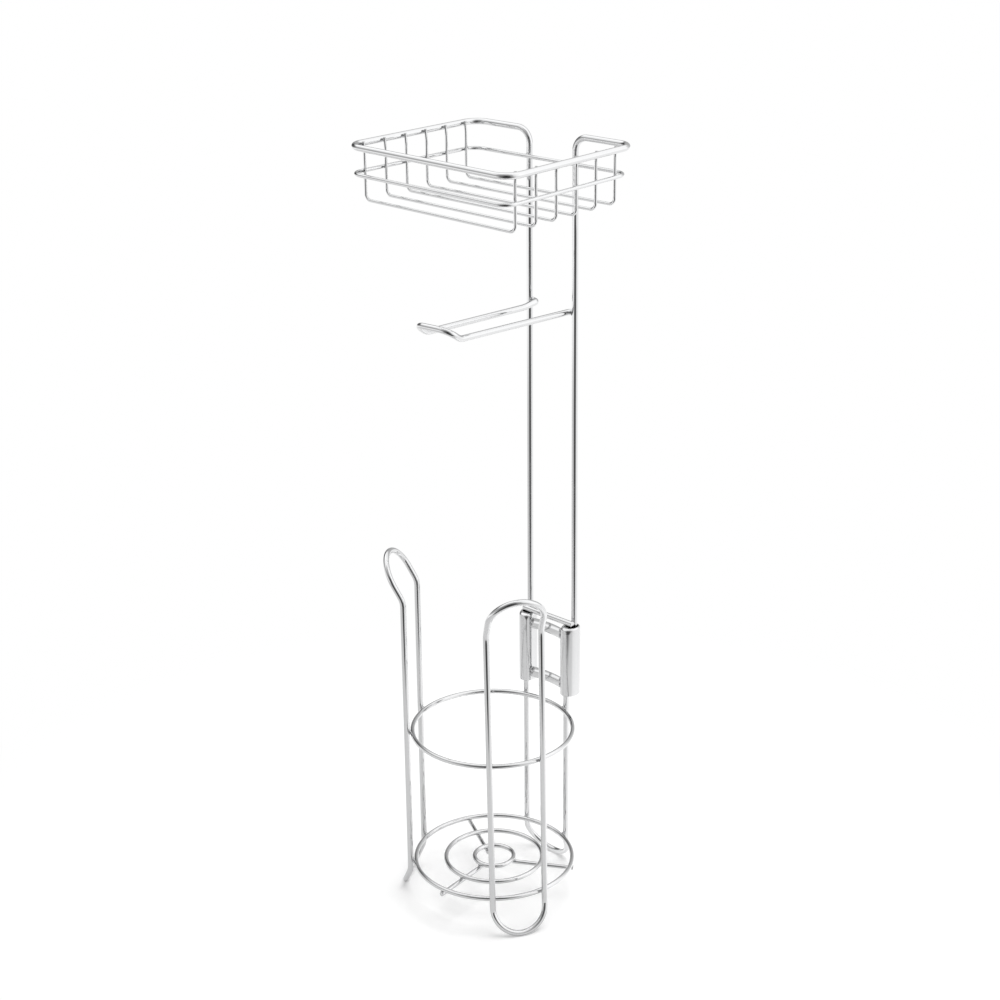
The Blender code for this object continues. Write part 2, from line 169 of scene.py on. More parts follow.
def filled(centres, normals, closed):
    """The path with stations shared out evenly along each straight run, so that smooth shading has no
    long faces to bend over. Each new centre is a step's start + its share x the step."""
    if closed:
        centres, normals = np.concatenate([centres, centres[:1]]), np.concatenate([normals, normals[:1]])
    steps = np.diff(centres, axis=0)
    counts = np.maximum(1, np.round(np.linalg.norm(steps, axis=1) / STATION_STEP).astype(int))
    index = np.repeat(np.arange(len(counts)), counts)
    share = (np.arange(counts.sum()) - np.repeat(np.cumsum(counts) - counts, counts)) / counts[index]
    between = centres[index] + steps[index] * share[:, None]
    if closed:
        return between, normals[index]
    return np.concatenate([between, centres[-1:]]), np.concatenate([normals[index], normals[-1:]])


def wire(name, centres, normals, diameter, closed=False):
    """A round wire: each point is its centre + radius x (normal x cos a + binormal x sin a). The ends of
    an open wire are cut flat, their edge a quarter round."""
    centres, normals = filled(centres, normals, closed)
    after, before = np.roll(centres, -1, 0), np.roll(centres, 1, 0)
    if not closed:
        after[-1], before[0] = centres[-1], centres[0]
    tangents = unit(after - before)
    radius = diameter / 2
    radii = np.full(len(centres), radius)
    if not closed:
        turn = np.linspace(0, math.pi / 2, CUT_STEPS)
        edge = CUT_EDGE_SHARE * radius
        inset = np.append(edge * (1 - np.cos(turn)), 1.5 * edge)[:, None]
        width = np.append(radius - edge + edge * np.sin(turn), radius)
        first = centres[0] + tangents[0] * inset
        last = (centres[-1] - tangents[-1] * inset)[::-1]
        centres = np.concatenate([first, centres[1:-1], last])
        normals = np.concatenate([
            np.repeat(normals[:1], len(width), 0), normals[1:-1], np.repeat(normals[-1:], len(width), 0),
        ])
        tangents = np.concatenate([
            np.repeat(tangents[:1], len(width), 0), tangents[1:-1], np.repeat(tangents[-1:], len(width), 0),
        ])
        radii = np.concatenate([width, radii[1:-1], width[::-1]])
    normals = unit(normals - tangents * (normals * tangents).sum(1, keepdims=True))
    binormals = np.cross(tangents, normals)
    angle = np.linspace(0, math.tau, WIRE_SIDES, endpoint=False)[None, :, None]
    spread = normals[:, None] * np.cos(angle) + binormals[:, None] * np.sin(angle)
    rings = centres[:, None] + radii[:, None, None] * spread
    steps = np.linalg.norm(np.diff(centres, axis=0), axis=1)
    return skin(name, rings, np.concatenate([[0], np.cumsum(steps)]), closed)


def piece(name, mesh, material, body, node=None):
    """The mesh as an object at the origin, riding on its body, in place of its CAD node."""
    mesh.materials.append(material)
    obj = bpy.data.objects.new(name, mesh)
    bpy.context.collection.objects.link(obj)
    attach(obj, body)
    if node:
        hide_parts(node)
    return obj


wire_chrome = chrome("chrome_on_drawn_wire", 0.0000005, (2600, 40, 1))

turns = np.linspace(0, math.tau, RING_STATIONS, endpoint=False)
ring_circle = np.stack([np.cos(turns), np.sin(turns), np.zeros(RING_STATIONS)], axis=1)
ring_normals = np.tile([0.0, 0.0, 1.0], (RING_STATIONS, 1))
for name, radius, height in (
    ("base_outer_ring", RING_RADIUS, BASE_RING_HEIGHT),
    ("base_middle_ring", MIDDLE_RING_RADIUS, BASE_RING_HEIGHT),
    ("base_hub_ring", HUB_RING_RADIUS, BASE_RING_HEIGHT),
    ("upper_ring", RING_RADIUS, UPPER_RING_HEIGHT),
):
    centres = ring_circle * radius + (0, CAGE_Y, height)
    mesh = wire(name + "_skin", centres, ring_normals, RING_WIRE, closed=True)
    piece(name + "_wire", mesh, wire_chrome, "cage", name)


# The three spokes are straight cut wires, laid under the base rings and resistance-welded where they
# cross. Each ends level with the outer ring's outer side, where its sheared end shows.

SPOKE_WIRE = 0.0038
SPOKE_OVERHANG = 0.0003      # past the outer side of the base ring
SPOKE_INSET = 0.0020         # past the inner side of the hub ring
SPOKE_ENDS = ((34, 30.5), (155, 151), (265, 273))   # degrees round the axis at the hub and at the rim
SPOKE_HEIGHT = BASE_RING_HEIGHT - RING_WIRE / 2 - WELD_GAP - SPOKE_WIRE / 2
STRAIGHT_STATIONS = 12
BEAD_ROWS = 10
BEAD_SIDES = 16
BEAD_RIPPLE = 0.07           # of its radius
BEAD_TURN_ON = 2.4           # radians from bead to bead
SPOKE_WELD_SIZE = (0.0026, 0.0014, 0.0017)
WELD_COLOUR = (0.52, 0.522, 0.528, 1.0)


def beads(name, places, long_axes, short_axes, size):
    """Weld beads: each point is its place + the three axes x the three sizes x a unit sphere's point x its
    swell. The swell is 1 + the ripple x sin (3 x + 2 y + phase) x cos (2 z + phase) at the sphere's point,
    and the phase goes on from bead to bead."""
    places, long_axes, short_axes = (np.array(v, float) for v in (places, long_axes, short_axes))
    long_axes = unit(long_axes)
    short_axes = unit(short_axes - long_axes * (short_axes * long_axes).sum(1, keepdims=True))
    rise = np.linspace(-math.pi / 2, math.pi / 2, BEAD_ROWS + 1)[1:-1]
    turn = np.linspace(0, math.tau, BEAD_SIDES, endpoint=False)
    ball = np.stack([
        np.outer(np.cos(rise), np.cos(turn)).ravel(),
        np.outer(np.cos(rise), np.sin(turn)).ravel(),
        np.repeat(np.sin(rise), BEAD_SIDES),
    ], axis=1)
    ball = np.concatenate([ball, [(0, 0, -1), (0, 0, 1)]])
    phase = BEAD_TURN_ON * np.arange(len(places))[:, None]
    x, y, z = ball.T
    swell = 1 + BEAD_RIPPLE * np.sin(3 * x + 2 * y + phase) * np.cos(2 * z + phase)
    axes = np.stack([long_axes, short_axes, np.cross(long_axes, short_axes)], axis=1)
    axes = axes * np.array(size)[:, None]
    points = places[:, None] + np.einsum("bps,bsc->bpc", ball * swell[..., None], axes)

    rows, total = BEAD_ROWS - 1, len(ball)
    row, side = np.arange(rows - 1)[:, None], np.arange(BEAD_SIDES)[None, :]
    after = (side + 1) % BEAD_SIDES
    quads = np.stack([
        row * BEAD_SIDES + side, row * BEAD_SIDES + after,
        (row + 1) * BEAD_SIDES + after, (row + 1) * BEAD_SIDES + side,
    ], axis=-1).reshape(-1, 4)
    side, after = side.ravel(), after.ravel()
    low = np.stack([after, side, np.full(BEAD_SIDES, total - 2)], axis=-1)
    top = (rows - 1) * BEAD_SIDES
    high = np.stack([top + side, top + after, np.full(BEAD_SIDES, total - 1)], axis=-1)
    shift = (np.arange(len(places)) * total)[:, None, None]
    faces = (quads + shift).reshape(-1, 4).tolist()
    faces += (low + shift).reshape(-1, 3).tolist() + (high + shift).reshape(-1, 3).tolist()
    mesh = bpy.data.meshes.new(name)
    mesh.from_pydata(points.reshape(-1, 3).tolist(), [], faces)
    layer = mesh.uv_layers.new(name="length")
    loop_points = np.empty(len(mesh.loops), np.int32)
    mesh.loops.foreach_get("vertex_index", loop_points)
    layer.data.foreach_set("uv", points.reshape(-1, 3)[loop_points][:, :2].ravel())
    mesh.shade_smooth()
    return mesh


weld_chrome = chrome("chrome_over_weld", 0.000015, (1800, 1800, 1), haze=0.14, colour=WELD_COLOUR)

spoke_welds, spoke_runs = [], []
for index, (hub_end, rim_end) in enumerate(SPOKE_ENDS):
    reach = np.array([
        HUB_RING_RADIUS - RING_WIRE / 2 - SPOKE_INSET,
        RING_RADIUS + RING_WIRE / 2 + SPOKE_OVERHANG,
    ])
    ends = np.radians([hub_end, rim_end])
    ends = np.stack([reach * np.cos(ends), reach * np.sin(ends), [0, 0]], axis=1)
    share = np.linspace(0, 1, STRAIGHT_STATIONS)[:, None]
    centres = ends[0] + (ends[1] - ends[0]) * share
    for radius in (HUB_RING_RADIUS, MIDDLE_RING_RADIUS, RING_RADIUS):
        at = np.interp(radius, np.linalg.norm(centres, axis=1), share[:, 0])
        spot = ends[0] + (ends[1] - ends[0]) * at
        spoke_welds.append(spot + (0, CAGE_Y, BASE_RING_HEIGHT - RING_WIRE / 2 - WELD_GAP / 2))
        spoke_runs.append(ends[1] - ends[0])
    centres = centres + (0, CAGE_Y, SPOKE_HEIGHT)
    name = f"base_spoke_{index + 1}"
    mesh = wire(name + "_skin", centres, np.tile([0.0, 0.0, 1.0], (STRAIGHT_STATIONS, 1)), SPOKE_WIRE)
    piece(name + "_wire", mesh, wire_chrome, "cage", name)
mesh = beads("spoke_weld_skin", spoke_welds, spoke_runs, [(0, 0, 1)] * len(spoke_runs), SPOKE_WELD_SIZE)
piece("spoke_welds", mesh, weld_chrome, "cage")


# The three loops are the cage's legs, its sides and its handles. Each is one frame wire bent to a long
# flat loop, then bent outwards at the foot and, on the front two, again near the top.

FRAME_WIRE = 0.0050
LOOP_HALF_WIDTH = 0.0225
LOOP_WIRE_RADIUS = RING_RADIUS + RING_WIRE / 2 + WELD_GAP + FRAME_WIRE / 2
LOOP_PLANE = math.sqrt(LOOP_WIRE_RADIUS ** 2 - LOOP_HALF_WIDTH ** 2)
FOOT_LENGTH = 0.0225
FOOT_ANGLE = math.radians(24)
FOOT_BEND_RADIUS = 0.0165
FOOT_FLAT_DEPTH = 0.0004     # the worn flat that each foot stands on
HANDLE_BEND_HEIGHT = 0.2728
HANDLE_LENGTH = 0.0374
HANDLE_ANGLE = math.radians(28.2)
HANDLE_BEND_RADIUS = 0.0162
RIGHT_LOOP_LEAN = math.radians(-2.5)   # how far round the rings the loop's end sits from its foot
LEAN_AT_UPPER_RING = -1.1    # degrees of that lean
REAR_LEG_END = 0.2246
TRACE_STEP = 0.0001
LOOP_STATION = 0.0030
LOOP_TURN_STEP = 4.5         # degrees
LOOP_ANGLES = {"rear_loop": 90, "left_loop": 210, "right_loop": -30}
RING_WELD_SIZE = (0.0021, 0.0012, 0.0022)


def loop_wire(name, angle, lean, neck, handle):
    """A flat loop laid on a bent sheet. The sheet's tilt is a function of the distance up it: steady on the
    foot, falling to nothing through the ankle's bend, and rising again through the neck's. Its sine and
    cosine are summed to give the places outwards and upwards. The lean turns each place about the cage's
    axis by its height's share of the lean, and the foot's underside is worn flat at the floor."""
    foot_cut = FOOT_BEND_RADIUS * math.tan(FOOT_ANGLE / 2)
    neck_cut = HANDLE_BEND_RADIUS * math.tan(HANDLE_ANGLE / 2) if handle else 0
    floor = FRAME_WIRE / 2 - FOOT_FLAT_DEPTH
    ankle = floor + FOOT_LENGTH * math.cos(FOOT_ANGLE)
    foot_ends = FOOT_LENGTH - foot_cut
    shin = foot_ends + FOOT_BEND_RADIUS * FOOT_ANGLE
    neck_starts = shin + neck - ankle - foot_cut - neck_cut
    neck_ends = neck_starts + HANDLE_BEND_RADIUS * HANDLE_ANGLE
    total = neck_ends + HANDLE_LENGTH - neck_cut if handle else neck_starts
    trace = np.arange(0, total + TRACE_STEP, TRACE_STEP)
    knots, tilts = [0, foot_ends, shin], [-FOOT_ANGLE, -FOOT_ANGLE, 0]
    if handle:
        knots, tilts = knots + [neck_starts, neck_ends], tilts + [0, HANDLE_ANGLE]
    tilt = np.interp(trace, knots, tilts)
    middle = (tilt[1:] + tilt[:-1]) / 2
    out = LOOP_PLANE + FOOT_LENGTH * math.sin(FOOT_ANGLE)
    out = out + np.concatenate([[0], np.cumsum(np.sin(middle))]) * TRACE_STEP
    up = floor + np.concatenate([[0], np.cumsum(np.cos(middle))]) * TRACE_STEP

    half = LOOP_HALF_WIDTH
    turn = np.radians(np.arange(-90, 91, LOOP_TURN_STEP))
    straight_end = total - half if handle else total
    side = np.linspace(half, straight_end, round((straight_end - half) / LOOP_STATION))[1:-1]
    foot = np.stack([half * np.sin(turn), half - half * np.cos(turn)], axis=1)
    right = np.stack([np.full(len(side), half), side], axis=1)
    left = (right * (-1, 1))[::-1]
    if handle:
        top = np.stack([-half * np.sin(turn), straight_end + half * np.cos(turn)], axis=1)
        outline = np.concatenate([foot, right, top, left])
    else:
        outline = np.concatenate([[(-half, total)], left, foot, right, [(half, total)]])
    across, along = outline.T
    place_out, place_up = np.interp(along, trace, out), np.interp(along, trace, up)
    place_tilt = np.interp(along, trace, tilt)
    round_axis = angle + lean * (place_up - BASE_RING_HEIGHT) / (up[-1] - BASE_RING_HEIGHT)
    c, s = np.cos(round_axis), np.sin(round_axis)
    centres = np.stack([place_out * c - across * s, place_out * s + across * c + CAGE_Y, place_up], axis=1)
    normals = np.stack([np.cos(place_tilt) * c, np.cos(place_tilt) * s, -np.sin(place_tilt)], axis=1)
    mesh = wire(name + "_skin", centres, normals, FRAME_WIRE, closed=handle)
    points = np.empty(len(mesh.vertices) * 3)
    mesh.vertices.foreach_get("co", points)
    points[2::3] = np.maximum(points[2::3], 0)
    mesh.vertices.foreach_set("co", points)
    return mesh


for name, degrees in LOOP_ANGLES.items():
    handle = name != "rear_loop"
    neck = HANDLE_BEND_HEIGHT if handle else REAR_LEG_END
    lean = RIGHT_LOOP_LEAN if name == "right_loop" else 0
    mesh = loop_wire(name, math.radians(degrees), lean, neck, handle)
    piece(name + "_wire", mesh, wire_chrome, "cage", name)

# Two beads of each loop at each ring, on the ring's outer side
weld_radius = RING_RADIUS + RING_WIRE / 2 + WELD_GAP / 2
half_angle = math.degrees(math.asin(LOOP_HALF_WIDTH / LOOP_WIRE_RADIUS))
spots = []
for name, degrees in LOOP_ANGLES.items():
    for height in (BASE_RING_HEIGHT, UPPER_RING_HEIGHT):
        leaning = name == "right_loop" and height == UPPER_RING_HEIGHT
        middle = degrees + (LEAN_AT_UPPER_RING if leaning else 0)
        spots += [(middle - half_angle, height), (middle + half_angle, height)]
spots = np.array(spots)
around = np.radians(spots[:, 0])
outwards = np.stack([np.cos(around), np.sin(around), 0 * around], axis=1)
places = outwards * weld_radius + np.stack([0 * around, 0 * around + CAGE_Y, spots[:, 1]], axis=1)
mesh = beads("ring_weld_skin", places, [(0, 0, 1)] * len(places), outwards, RING_WELD_SIZE)
piece("ring_welds", mesh, weld_chrome, "cage")


# The two sleeves are short lengths of steel tube pressed oval, and slid over the rear loop's ends. Their
# mouths are deburred, and the uprights stand in them behind the loop's legs.

SLEEVE_WIDTH = 0.0142
SLEEVE_DEPTH = 0.0178
SLEEVE_TILT = math.radians(8.5)
SLEEVE_BOTTOM = 0.1670
SLEEVE_TOP = 0.2296
SLEEVE_WALL = 0.0018
LIP_HEIGHT = 0.0022
LIP_EXTRA = 0.0044           # at the front, where the mouth is closed over the leg's end
LIP_OUTER_SHARE = 0.72       # of the lip that slopes outwards
FOOT_EDGE = 0.0006           # the rounding of the sleeve's lower edge
THROAT_DEPTH = 0.0050        # from the mouth to the straight part of the wall
SLEEVE_SIDES = 96
UPRIGHT_SETBACK = 0.0078     # behind the rear loop's legs
UPRIGHT_HALF_SPACING = 0.0247
SLEEVE_OFFSET = (UPRIGHT_HALF_SPACING + LOOP_HALF_WIDTH) / 2
SLEEVE_PLANE = LOOP_PLANE + UPRIGHT_SETBACK / 2
SLEEVE_HALF_FLAT = (SLEEVE_DEPTH - SLEEVE_WIDTH) / 2


def sleeve_skin(name, side):
    """An oval tube with a wall. Its section goes up the outside, over a rounded lip, down the inside and
    round the foot's edge, and each point of it is carried round the oval: half circles of the section's
    radius about two centres, joined by straight sides. The lip grows as the sine of the turn towards the
    front, to the power of one and a half."""
    quarter = np.linspace(0, math.pi / 2, 9)
    rise, run = np.sin(quarter), 1 - np.cos(quarter)
    # Columns: how far in as a share of the wall and as a share of the lip, and the height
    outer = np.stack([0 * run, LIP_OUTER_SHARE * run, SLEEVE_TOP - LIP_HEIGHT * (1 - rise)], axis=1)
    inner_share = 1 - LIP_OUTER_SHARE
    inner = np.stack([
        0 * run, LIP_OUTER_SHARE + inner_share * rise, SLEEVE_TOP - LIP_HEIGHT / 2 * run,
    ], axis=1)
    throat = np.array([(0, 1, SLEEVE_TOP - LIP_HEIGHT), (1, 0, SLEEVE_TOP - 2 * LIP_HEIGHT)])
    heights = np.linspace(SLEEVE_BOTTOM + 0.002, SLEEVE_TOP - THROAT_DEPTH, 16)
    outside = np.stack([0 * heights, 0 * heights, heights], axis=1)
    inside = (outside + (1, 0, 0))[::-1]
    edge_share = FOOT_EDGE / SLEEVE_WALL
    foot_in = np.stack([1 - edge_share * run, 0 * run, SLEEVE_BOTTOM + FOOT_EDGE * (1 - rise)], axis=1)
    foot_out = np.stack([edge_share * (1 - rise), 0 * run, SLEEVE_BOTTOM + FOOT_EDGE * run], axis=1)
    section = np.concatenate([outside, outer, inner[1:], throat, inside, foot_in, foot_out])
    around = np.linspace(0, math.tau, SLEEVE_SIDES, endpoint=False)
    lip = SLEEVE_WALL + LIP_EXTRA * np.clip(-np.sin(around), 0, 1) ** 1.5
    # The centre slides from one half circle's to the other's, so that the straight sides have few points
    offset = np.tan(math.pi / 4 * np.clip(np.sin(around) * 1.15, -1, 1)) * SLEEVE_HALF_FLAT
    radius = SLEEVE_WIDTH / 2 - section[:, :1] * SLEEVE_WALL - section[:, 1:2] * lip
    x = radius * np.cos(around)
    y = radius * np.sin(around) + offset
    c, s = math.cos(-side * SLEEVE_TILT), math.sin(-side * SLEEVE_TILT)
    rings = np.stack([
        x * c - y * s + side * SLEEVE_OFFSET,
        x * s + y * c + SLEEVE_PLANE + CAGE_Y,
        np.repeat(section[:, 2:], len(around), 1),
    ], axis=-1)
    steps = np.linalg.norm(np.diff(rings[:, 0], axis=0), axis=1)
    return skin(name, rings, np.concatenate([[0], np.cumsum(steps)]), closed=True)


tube_chrome = chrome("chrome_on_pressed_tube", 0.0000015, (1300, 90, 1), haze=0.16, clear=0.08)
for side, name in ((-1, "left_sleeve"), (1, "right_sleeve")):
    piece(name + "_tube", sleeve_skin(name + "_skin", side), tube_chrome, "cage", name)


# The two straps are flat bars bowed to the back, butted against the rounded fronts of the sleeves and
# welded down both ends. They hold the sleeves to their distance.

STRAP_THICKNESS = 0.0020
STRAP_HEIGHT = 0.0093
STRAP_BOW = 0.0018
STRAP_EDGE = 0.0003
STRAP_CROWN = 0.0014          # how far its front face falls back at the top edge
STRAP_SUMMIT_SHARE = -0.22    # of its height, where the crown stands out most
STRAP_STATIONS = 41
UPPER_STRAP_INSET = 0.0031
LOWER_STRAP_INSET = 0.0042
STRAP_WELD_SHARES = (0.28, 0.70)
STRAP_WELD_SIZE = (0.0026, 0.0012, 0.0011)
round_x = SLEEVE_OFFSET - SLEEVE_HALF_FLAT * math.sin(SLEEVE_TILT)
round_y = SLEEVE_PLANE - SLEEVE_HALF_FLAT * math.cos(SLEEVE_TILT)
ahead = round_y - LOOP_PLANE - STRAP_THICKNESS / 2
strap_half = round_x - math.sqrt((SLEEVE_WIDTH / 2 + WELD_GAP) ** 2 - ahead ** 2)
strap_bottoms = {
    "upper_strap": SLEEVE_TOP - UPPER_STRAP_INSET - STRAP_HEIGHT,
    "lower_strap": SLEEVE_BOTTOM + LOWER_STRAP_INSET,
}


def strap_skin(name, bottom):
    """A bar with a flat back and a crowned front, carried along a shallow parabola. The crown's depth is
    the square of the height above its summit, as a share of that at the top edge."""
    quarter = np.linspace(0, math.pi / 2, 4)
    wide, tall = STRAP_THICKNESS / 2 - STRAP_EDGE, STRAP_HEIGHT / 2 - STRAP_EDGE
    corner = np.stack([wide + STRAP_EDGE * np.cos(quarter), tall + STRAP_EDGE * np.sin(quarter)], axis=1)
    heights = np.linspace(tall, -tall, 15)[1:-1]
    face = np.stack([np.full(len(heights), -wide - STRAP_EDGE), heights], axis=1)
    section = np.concatenate([corner, (corner * (-1, 1))[::-1], face, -corner, (corner * (1, -1))[::-1]])
    summit = STRAP_SUMMIT_SHARE * STRAP_HEIGHT
    crown = STRAP_CROWN * ((section[:, 1] - summit) / (STRAP_HEIGHT / 2 - summit)) ** 2
    section[:, 0] += crown * (section[:, 0] < 0)
    share = np.linspace(-1, 1, STRAP_STATIONS)
    x, y = share * strap_half, LOOP_PLANE + CAGE_Y + STRAP_BOW * (1 - share ** 2)
    slope = -2 * STRAP_BOW * share / strap_half
    back = unit(np.stack([-slope, np.ones(STRAP_STATIONS), 0 * slope], axis=1))
    middle = np.stack([x, y, np.full(STRAP_STATIONS, bottom + STRAP_HEIGHT / 2)], axis=1)
    rings = middle[:, None] + back[:, None] * section[None, :, :1]
    rings = rings + np.array([0, 0, 1.0]) * section[None, :, 1:]
    return skin(name, rings, x - x[0])


bar_chrome = chrome("chrome_on_flat_bar", 0.0000015, (1300, 90, 1))
for name, bottom in strap_bottoms.items():
    piece(name + "_bar", strap_skin(name + "_skin", bottom), bar_chrome, "cage", name)
places = []
weld_y = LOOP_PLANE + CAGE_Y - STRAP_THICKNESS / 4
for bottom in strap_bottoms.values():
    for side in (-1, 1):
        places += [(side * strap_half, weld_y, bottom + rise * STRAP_HEIGHT) for rise in STRAP_WELD_SHARES]
runs, widths = [(0, 0, 1)] * len(places), [(1, 0, 0)] * len(places)
mesh = beads("strap_weld_skin", places, runs, widths, STRAP_WELD_SIZE)
piece("strap_welds", mesh, weld_chrome, "cage")


# The upper frame's main wire is one length of frame wire: up one upright, round the tray as its rail, and
# down the other upright. It is bent cold on a bench jig.

UPRIGHT_Y = CAGE_Y + LOOP_PLANE + UPRIGHT_SETBACK
UPRIGHT_FOOT = 0.1730
SHOULDER_HALF_SPACING = 0.0235
SHOULDER_RADIUS = 0.0115
RAIL_HEIGHT = 0.6403
RAIL_HALF_WIDTH = 0.0808
RAIL_DEPTH = 0.1404
RAIL_CORNER_RADIUS = 0.0130
TRAY_TWIST = math.radians(0.65)
TURN_STEP = math.radians(3)


def bent(corners, radii, closed=False):
    """Centres and normals of a wire of straight runs joined by arcs. An arc's points are its start +
    run-in x radius x sin a + inward x radius x (1 - cos a), and the normal turns with it about its axis."""
    corners = np.array(corners, float)
    ahead = unit(np.roll(corners, -1, 0) - corners)
    behind = np.roll(ahead, 1, 0)
    turns = np.arccos(np.clip((ahead * behind).sum(1), -1, 1))
    axes = unit(np.cross(behind, ahead))
    normal = axes[0] if closed else axes[1]
    centres, normals = [], []
    for corner, radius, turn, axis, run in zip(corners, radii, turns, axes, behind):
        if radius == 0:
            centres.append(corner[None])
            normals.append(normal[None])
            continue
        angle = np.linspace(0, turn, max(2, round(turn / TURN_STEP)) + 1)[:, None]
        start = corner - run * radius * math.tan(turn / 2)
        inward = np.cross(axis, run)
        centres.append(start + run * radius * np.sin(angle) + inward * radius * (1 - np.cos(angle)))
        normals.append(
            normal * np.cos(angle) + np.cross(axis, normal) * np.sin(angle)
            + axis * (axis @ normal) * (1 - np.cos(angle))
        )
        normal = normals[-1][-1]
    return np.concatenate(centres), np.concatenate(normals)


def upright_half_spacing(height):
    """Half the distance between the uprights at a height, as they lean in towards the rail."""
    share = (height - UPRIGHT_FOOT) / (RAIL_HEIGHT - UPRIGHT_FOOT)
    return UPRIGHT_HALF_SPACING + (SHOULDER_HALF_SPACING - UPRIGHT_HALF_SPACING) * share


def twisted(places):
    """The places with the tray's twist: height + x x tan(twist) x the place behind the uprights' plane, as
    a share of the rail's depth. It is nothing at the uprights, and whole and the other way at the front."""
    places = np.array(places, float)
    places[:, 2] += places[:, 0] * math.tan(TRAY_TWIST) * (places[:, 1] - UPRIGHT_Y) / RAIL_DEPTH
    return places


half, back, front = RAIL_HALF_WIDTH, UPRIGHT_Y, UPRIGHT_Y - RAIL_DEPTH
left = [(-UPRIGHT_HALF_SPACING, back, UPRIGHT_FOOT), (-SHOULDER_HALF_SPACING, back, RAIL_HEIGHT),
        (-half, back, RAIL_HEIGHT), (-half, front, RAIL_HEIGHT)]
right = [(-x, y, z) for x, y, z in reversed(left)]
radii = [0, SHOULDER_RADIUS, RAIL_CORNER_RADIUS, RAIL_CORNER_RADIUS]
centres, normals = bent(left + right, radii + radii[::-1])
mesh = wire("main_frame_skin", twisted(centres), normals, FRAME_WIRE)
piece("main_frame_bent_wire", mesh, wire_chrome, "upper_frame", "main_frame_wire")


# The stop wire is a straight cut wire welded across the front of the uprights. It comes to rest on the
# mouths of the sleeves when the upper frame is pushed home.

STOP_HEIGHT = SLEEVE_TOP + WELD_GAP + FRAME_WIRE / 2
STOP_Y = UPRIGHT_Y - FRAME_WIRE - WELD_GAP
stop_half = upright_half_spacing(STOP_HEIGHT) + FRAME_WIRE / 2
centres = np.tile([0.0, STOP_Y, STOP_HEIGHT], (STRAIGHT_STATIONS, 1))
centres[:, 0] = np.linspace(-stop_half, stop_half, STRAIGHT_STATIONS)
mesh = wire("stop_skin", centres, np.tile([0.0, 0.0, 1.0], (STRAIGHT_STATIONS, 1)), FRAME_WIRE)
piece("stop_cut_wire", mesh, wire_chrome, "upper_frame", "stop_wire")


# The tray band is a thin wire bent to a rounded rectangle and butt-welded. It ties the cross wires
# together half way down the tray, and is welded to the uprights behind.

BAND_WIRE = 0.0030
BASKET_WIRE = 0.0024
BAND_DROP = 0.0207
BAND_CORNER_RADIUS = 0.0110
CROSS_WIRE_LEAN = 0.0006
CROSS_WIRE_END = RAIL_HALF_WIDTH - (FRAME_WIRE + BASKET_WIRE) / 2 - WELD_GAP
CROSS_WIRE_HALF_WIDTH = CROSS_WIRE_END - CROSS_WIRE_LEAN
BAND_HALF_WIDTH = CROSS_WIRE_HALF_WIDTH + (BASKET_WIRE + BAND_WIRE) / 2 + WELD_GAP
band_height = RAIL_HEIGHT - BAND_DROP
band_back = UPRIGHT_Y - (FRAME_WIRE + BAND_WIRE) / 2 - WELD_GAP
half = BAND_HALF_WIDTH
corners = [(-half, band_back, band_height), (-half, front, band_height),
           (half, front, band_height), (half, band_back, band_height)]
centres, normals = bent(corners, [BAND_CORNER_RADIUS] * 4, closed=True)
mesh = wire("tray_band_skin", twisted(centres), normals, BAND_WIRE, closed=True)
piece("tray_band_bent_wire", mesh, wire_chrome, "upper_frame", "tray_band")


# The six cross wires make the tray's floor and sides. Each is thin wire bent to a wide U, and its two
# ends are nipped outwards and welded to the rail's inner side.

CROSS_WIRE_COUNT = 6
CROSS_WIRE_DEPTH = 0.0423
CROSS_WIRE_BEND_RADIUS = 0.0050
CROSS_WIRE_END_RISE = 0.0018
CROSS_WIRE_KINK_DROP = 0.0060
CROSS_WIRE_KINK_RADIUS = 0.0080
FIRST_CROSS_WIRE_SETBACK = 0.0127
CROSS_WIRE_PITCH = 0.0222
TRAY_WELD_SIZE = (0.0012, 0.0006, 0.0011)
rows = front + FIRST_CROSS_WIRE_SETBACK + CROSS_WIRE_PITCH * np.arange(CROSS_WIRE_COUNT)
for index, y in enumerate(rows):
    left = [
        (-CROSS_WIRE_END, y, RAIL_HEIGHT + CROSS_WIRE_END_RISE),
        (-CROSS_WIRE_END, y, RAIL_HEIGHT - WELD_GAP),
        (-CROSS_WIRE_HALF_WIDTH, y, RAIL_HEIGHT - CROSS_WIRE_KINK_DROP),
        (-CROSS_WIRE_HALF_WIDTH, y, RAIL_HEIGHT - CROSS_WIRE_DEPTH),
    ]
    right = [(-x, y, z) for x, y, z in reversed(left)]
    radii = [0, CROSS_WIRE_KINK_RADIUS, CROSS_WIRE_KINK_RADIUS, CROSS_WIRE_BEND_RADIUS]
    name = f"tray_cross_wire_{index + 1}"
    centres, normals = bent(left + right, radii + radii[::-1])
    mesh = wire(name + "_skin", twisted(centres), normals, BASKET_WIRE)
    piece(name + "_bent", mesh, wire_chrome, "upper_frame", name)

places, outs = [], []
at_rail = RAIL_HALF_WIDTH - FRAME_WIRE / 2 - WELD_GAP / 2
at_band = CROSS_WIRE_HALF_WIDTH + BASKET_WIRE / 2 + WELD_GAP / 2
for side in (-1, 1):
    for y in rows:
        places += [(side * at_rail, y, RAIL_HEIGHT), (side * at_band, y, band_height)]
        outs += [(side, 0, 0)] * 2
mesh = beads("tray_weld_skin", twisted(places), [(0, 0, 1)] * len(places), outs, TRAY_WELD_SIZE)
piece("tray_welds", mesh, weld_chrome, "upper_frame")


# The roll arm is one frame wire bent to a long U, its tip turned up so that the roll stays on. Its two
# roots turn outwards and are welded to the inner sides of the uprights.

